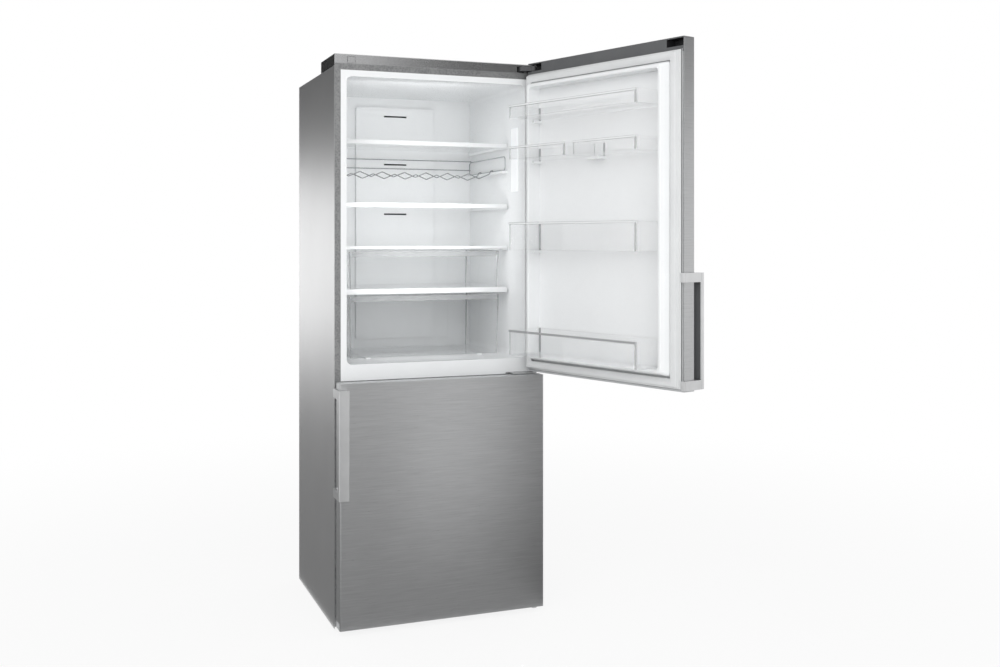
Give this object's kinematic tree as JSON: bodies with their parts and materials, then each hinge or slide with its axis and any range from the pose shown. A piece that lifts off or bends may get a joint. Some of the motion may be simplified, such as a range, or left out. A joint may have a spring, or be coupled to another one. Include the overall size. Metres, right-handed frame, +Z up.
{
  "type": "bottom-freezer refrigerator",
  "caption": "Free-standing steel refrigerator over a freezer, with hinged doors, glass shelves, a wire bottle rack, clear drawers and clear door bins.",
  "frame": {"origin": "on the floor, under the middle of the cabinet's front face", "axes": "+X to the viewer's right, +Y from the front to the back, +Z up"},
  "size_m": [0.9675, 1.2648, 1.85],
  "materials": {
    "door_steel": "brushed",
    "side_grey": "satin",
    "frame_grey": "satin",
    "back_grey": "matte",
    "white_plastic": "gloss",
    "light_grey_plastic": "satin",
    "dark_grey_plastic": "satin",
    "band_grey": "satin",
    "clear_plastic": "clear gloss",
    "shelf_glass": "clear",
    "seal_grey": "matte",
    "chrome_wire": "polished",
    "zinc_steel": "satin",
    "hinge_grey": "satin",
    "handle_silver": "satin",
    "foam": "matte",
    "black_plastic": "satin",
    "black_paint": "satin",
    "coil_metal": "satin",
    "board_green": "satin",
    "lamp_white": "gloss"
  },
  "bodies": {
    "cabinet": {"cabinet_panels": "side_grey", "back_panel": "back_grey", "front_frame": "frame_grey", "insulation": "foam", "fridge_liner": "white_plastic", "freezer_liner": "white_plastic", "top_cover": "band_grey", "hinge_slot_plug": "band_grey", "control_board": "board_green", "top_hinge": "hinge_grey", "middle_hinge": "zinc_steel", "lower_hinge": "zinc_steel", "front_left_foot": "black_plastic", "front_right_foot": "black_plastic", "base_plate": "back_grey", "roller_axles": "zinc_steel", "compressor": "black_paint", "drip_tray": "light_grey_plastic", "condenser_coil": "black_paint", "condenser_fan_motor": "black_plastic", "rear_cover": "back_grey", "upper_shelf_glass": "shelf_glass", "middle_shelf_glass": "shelf_glass", "crisper_cover_glass": "shelf_glass", "shelf_trims": "white_plastic", "drawer_divider": "white_plastic", "wine_rack": "chrome_wire", "fridge_duct_cover": "white_plastic", "interior_lamp": "lamp_white", "freezer_shelves": "shelf_glass", "freezer_top_drawer": "clear_plastic", "freezer_middle_drawer": "clear_plastic", "freezer_bottom_drawer": "clear_plastic", "freezer_duct_cover": "white_plastic", "evaporator": "coil_metal", "evaporator_fan_motor": "black_plastic"},
    "fridge_door": {"fridge_door_skin": "door_steel", "fridge_door_foam": "foam", "fridge_door_liner": "white_plastic", "fridge_door_top_cap": "dark_grey_plastic", "fridge_door_bottom_cap": "light_grey_plastic", "fridge_door_gasket": "seal_grey", "fridge_handle": "handle_silver", "bin_rims": "white_plastic", "top_bin": "clear_plastic", "half_bins": "clear_plastic", "middle_bin": "clear_plastic", "bottle_bin": "clear_plastic"},
    "freezer_door": {"freezer_door_skin": "door_steel", "freezer_door_foam": "foam", "freezer_door_liner": "white_plastic", "freezer_door_caps": "light_grey_plastic", "freezer_door_gasket": "seal_grey", "freezer_handle": "handle_silver"},
    "upper_drawer": {"upper_drawer": "clear_plastic"},
    "lower_drawer": {"lower_drawer": "clear_plastic"},
    "condenser_fan": {"condenser_fan": "black_plastic"},
    "evaporator_fan": {"evaporator_fan": "light_grey_plastic"},
    "left_rear_roller": {"left_rear_roller": "black_plastic"},
    "right_rear_roller": {"right_rear_roller": "black_plastic"}
  },
  "joints": [
    {"name": "fridge_door_hinge", "type": "hinge", "parent": "cabinet", "child": "fridge_door", "pos_m": [0.329, -0.032, 1.3], "axis": [0, 0, 1], "range_deg": [-108, 6]},
    {"name": "freezer_door_hinge", "type": "hinge", "parent": "cabinet", "child": "freezer_door", "pos_m": [0.329, -0.032, 0.4], "axis": [0, 0, 1], "range_deg": [0, 114]},
    {"name": "upper_drawer_slide", "type": "slide", "parent": "cabinet", "child": "upper_drawer", "axis": [0, -1, 0], "range_m": [0, 0.25]},
    {"name": "lower_drawer_slide", "type": "slide", "parent": "cabinet", "child": "lower_drawer", "axis": [0, -1, 0], "range_m": [0, 0.19]},
    {"name": "condenser_fan_spin", "type": "hinge", "parent": "cabinet", "child": "condenser_fan", "pos_m": [0.02, 0.452, 0.099], "axis": [1, 0, 0], "continuous": true},
    {"name": "evaporator_fan_spin", "type": "hinge", "parent": "cabinet", "child": "evaporator_fan", "pos_m": [0, 0.488, 0.58], "axis": [0, 1, 0], "continuous": true},
    {"name": "left_roller_spin", "type": "hinge", "parent": "cabinet", "child": "left_rear_roller", "pos_m": [-0.25, 0.519, 0.016], "axis": [1, 0, 0], "continuous": true},
    {"name": "right_roller_spin", "type": "hinge", "parent": "cabinet", "child": "right_rear_roller", "pos_m": [0.25, 0.519, 0.016], "axis": [1, 0, 0], "continuous": true}
  ]
}
